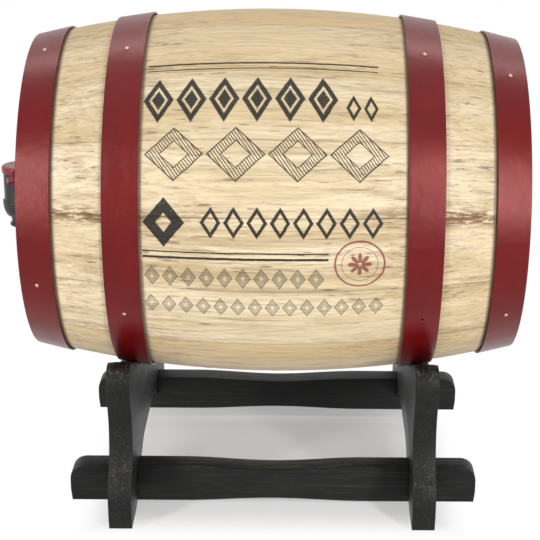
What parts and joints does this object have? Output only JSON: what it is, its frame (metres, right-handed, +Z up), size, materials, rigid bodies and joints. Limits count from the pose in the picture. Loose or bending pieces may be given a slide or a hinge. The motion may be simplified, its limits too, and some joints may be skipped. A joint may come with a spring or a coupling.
{
  "type": "wooden cask with liner bag and press tap on a cradle",
  "caption": "Stave cask with steel hoops on a low wooden cradle; a liner bag inside feeds a press tap in the front head, and the rear head lifts out",
  "frame": {"origin": "on the table, under the middle of the whole part's bounding box", "axes": "+X along the cask's axis, away from the tap; +Y across the cask, away from the viewer who has the tap on the left; +Z up"},
  "size_m": [0.4354, 0.309, 0.4005],
  "materials": {
    "stave_wood": "pale streaked wood under a thin clear matt lacquer",
    "head_wood": "pale planed wood, unfinished",
    "inner_wood": "planed wood, unfinished",
    "hoop_paint": "dark red satin paint, slightly mottled",
    "rivet_paint": "dark red satin paint",
    "nail_brass": "dulled brass",
    "screw_steel": "zinc plated steel",
    "tap_black": "moulded black plastic, slightly glossy",
    "tap_red": "moulded dark red plastic, glossy",
    "valve_white": "moulded natural plastic",
    "seal_rubber": "soft black rubber",
    "spring_steel": "stainless spring wire",
    "spout_white": "moulded natural plastic",
    "lock_ring_grey": "moulded dark grey plastic",
    "bag_film": "metallised film bag, full",
    "cradle_wood": "black stained wood, worn a little paler on the edges"
  },
  "bodies": {
    "cradle": {"front_cross_board": "cradle_wood", "rear_cross_board": "cradle_wood", "near_rail": "cradle_wood", "far_rail": "cradle_wood", "cradle_screws": "screw_steel"},
    "cask": {"stave_01": "stave_wood", "stave_02": "stave_wood", "stave_03": "stave_wood", "stave_04": "stave_wood", "stave_05": "stave_wood", "stave_06": "stave_wood", "stave_07": "stave_wood", "stave_08": "stave_wood", "stave_09": "stave_wood", "stave_10": "stave_wood", "stave_11": "stave_wood", "stave_12": "stave_wood", "stave_13": "stave_wood", "stave_14": "stave_wood", "stave_15": "stave_wood", "stave_16": "stave_wood", "front_head_hoop": "hoop_paint", "front_quarter_hoop": "hoop_paint", "rear_quarter_hoop": "hoop_paint", "rear_head_hoop": "hoop_paint", "hoop_nails": "nail_brass", "hoop_rivets": "rivet_paint", "front_head_centre_board": "head_wood", "front_head_near_board": "head_wood", "front_head_far_board": "head_wood", "front_head_dowels": "inner_wood", "tap_body": "tap_black", "finger_wing": "tap_red", "stem_gland": "seal_rubber", "return_spring": "spring_steel", "bag_spout": "spout_white", "lock_ring": "lock_ring_grey", "tap_o_ring": "seal_rubber", "liner_bag": "bag_film"},
    "button": {"push_button": "tap_red", "valve_stem": "valve_white", "valve_seal": "seal_rubber"},
    "rear_head": {"rear_head_centre_board": "head_wood", "rear_head_near_board": "head_wood", "rear_head_far_board": "head_wood", "rear_head_dowels": "inner_wood", "upper_batten": "inner_wood", "lower_batten": "inner_wood", "batten_screws": "screw_steel"}
  },
  "joints": [
    {"name": "cask_lift", "type": "slide", "parent": "cradle", "child": "cask", "axis": [0, 0, 1], "range_m": [0, 0.12]},
    {"name": "button_press", "type": "slide", "parent": "cask", "child": "button", "axis": [0, 0, -1], "range_m": [0, 0.004], "stiffness_N_per_m": 1500, "springref_m": -0.003, "deforming": ["return_spring"]},
    {"name": "rear_head_pull", "type": "slide", "parent": "cask", "child": "rear_head", "axis": [1, 0, 0], "range_m": [0, 0.08]}
  ]
}
